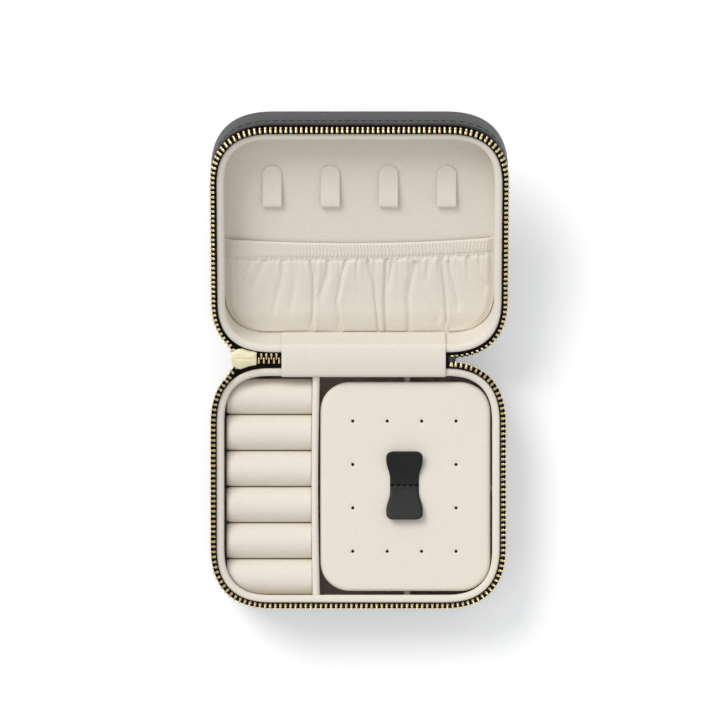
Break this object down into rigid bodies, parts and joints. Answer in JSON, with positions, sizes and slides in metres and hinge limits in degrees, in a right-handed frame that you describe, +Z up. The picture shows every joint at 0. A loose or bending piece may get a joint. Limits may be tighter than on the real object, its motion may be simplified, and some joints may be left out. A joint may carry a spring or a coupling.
{
  "type": "jewellery case",
  "caption": "Open zip-round leather jewellery case with a tilted lid, necklace tabs and pocket, ring rolls and a lift-out earring pad over compartments.",
  "frame": {"origin": "middle of the base's underside, on the surface that it stands on", "axes": "+X to the right, +Y towards the hinge and the open lid, +Z up"},
  "size_m": [0.119, 0.1971, 0.0696],
  "materials": {
    "black_leather": "fine pebble grain, satin",
    "tab_leather": "smooth grain, satin",
    "cream_lining": "matt brushed microfibre",
    "black_tape": "matt woven rib",
    "black_thread": "waxed thread",
    "zip_brass": "polished",
    "slider_brass": "satin pale gold",
    "stud_brass": "polished",
    "fibre_board": "raw grey board"
  },
  "bodies": {
    "base": {"base_wall_leather": "black_leather", "base_bottom_leather": "black_leather", "base_wall_board": "fibre_board", "base_bottom_board": "fibre_board", "base_wall_lining": "cream_lining", "base_floor_lining": "cream_lining", "base_rim_roll": "cream_lining", "base_zip_tape": "black_tape", "base_zip_teeth": "zip_brass", "base_zip_top_stop": "zip_brass", "ring_roll_1": "cream_lining", "ring_roll_2": "cream_lining", "ring_roll_3": "cream_lining", "ring_roll_4": "cream_lining", "ring_roll_5": "cream_lining", "ring_roll_6": "cream_lining", "ring_roll_divider": "cream_lining", "cross_divider_long": "cream_lining", "cross_divider_short": "cream_lining"},
    "spine": {"spine_leather": "black_leather", "spine_lining": "cream_lining", "spine_zip_tape": "black_tape", "spine_chain_teeth": "zip_brass", "zip_bottom_stop": "zip_brass"},
    "slider": {"zip_slider": "slider_brass"},
    "pull": {"zip_pull": "slider_brass"},
    "lid": {"lid_wall_leather": "black_leather", "lid_top_leather": "black_leather", "lid_wall_board": "fibre_board", "lid_top_board": "fibre_board", "lid_wall_lining": "cream_lining", "lid_panel": "cream_lining", "lid_rim_roll": "cream_lining", "lid_zip_tape": "black_tape", "lid_zip_teeth": "zip_brass", "lid_zip_top_stop": "zip_brass", "press_studs": "stud_brass"},
    "earring_pad": {"pad_board": "fibre_board", "pad_cushion": "cream_lining", "pull_tab_centre": "tab_leather", "pull_tab_stitches": "black_thread"},
    "tab_front": {"pull_tab_front": "tab_leather"},
    "tab_rear": {"pull_tab_rear": "tab_leather"},
    "pocket": {"pocket_panel": "cream_lining", "pocket_elastic": "cream_lining"},
    "necklace_1": {"necklace_tab_1": "cream_lining", "tab_socket_1": "stud_brass"},
    "necklace_2": {"necklace_tab_2": "cream_lining", "tab_socket_2": "stud_brass"},
    "necklace_3": {"necklace_tab_3": "cream_lining", "tab_socket_3": "stud_brass"},
    "necklace_4": {"necklace_tab_4": "cream_lining", "tab_socket_4": "stud_brass"}
  },
  "joints": [
    {"name": "spine_fold", "type": "hinge", "parent": "base", "child": "spine", "pos_m": [0, 0.0464, 0.031], "axis": [-1, 0, 0], "range_deg": [-78.5, 0]},
    {"name": "lid_fold", "type": "hinge", "parent": "spine", "child": "lid", "pos_m": [0, 0.05218, 0.03218], "axis": [-1, 0, 0], "range_deg": [-78.5, 0]},
    {"name": "slider_slide", "type": "slide", "parent": "spine", "child": "slider", "axis": [1, 0, 0], "range_m": [0, 0.003]},
    {"name": "pull_swing", "type": "hinge", "parent": "slider", "child": "pull", "pos_m": [-0.0484, 0.05054, 0.02919], "axis": [0, 0.9799, 0.1994], "range_deg": [-12, 85]},
    {"name": "pad_lift", "type": "slide", "parent": "base", "child": "earring_pad", "axis": [0, 0, 1], "range_m": [0, 0.045]},
    {"name": "tab_front_flex", "type": "hinge", "parent": "earring_pad", "child": "tab_front", "pos_m": [0.0183, -0.0018, 0.0261], "axis": [-1, 0, 0], "range_deg": [0, 60], "stiffness_Nm_per_rad": 0.0005},
    {"name": "tab_rear_flex", "type": "hinge", "parent": "earring_pad", "child": "tab_rear", "pos_m": [0.0183, 0.0018, 0.0261], "axis": [1, 0, 0], "range_deg": [0, 60], "stiffness_Nm_per_rad": 0.0005},
    {"name": "pocket_mouth", "type": "hinge", "parent": "lid", "child": "pocket", "pos_m": [0, 0.06368, 0.01968], "axis": [1, 0, 0], "range_deg": [0, 7], "stiffness_Nm_per_rad": 0.05},
    {"name": "necklace_1_flap", "type": "hinge", "parent": "lid", "child": "necklace_1", "pos_m": [-0.03435, 0.11071, 0.04018], "axis": [1, 0, 0], "range_deg": [0, 110]},
    {"name": "necklace_2_flap", "type": "hinge", "parent": "lid", "child": "necklace_2", "pos_m": [-0.01145, 0.11071, 0.04018], "axis": [1, 0, 0], "range_deg": [0, 110]},
    {"name": "necklace_3_flap", "type": "hinge", "parent": "lid", "child": "necklace_3", "pos_m": [0.01145, 0.11071, 0.04018], "axis": [1, 0, 0], "range_deg": [0, 110]},
    {"name": "necklace_4_flap", "type": "hinge", "parent": "lid", "child": "necklace_4", "pos_m": [0.03435, 0.11071, 0.04018], "axis": [1, 0, 0], "range_deg": [0, 110]}
  ],
  "couplings": [
    {"joint": "spine_fold", "follows": "lid_fold", "ratio": 1}
  ]
}
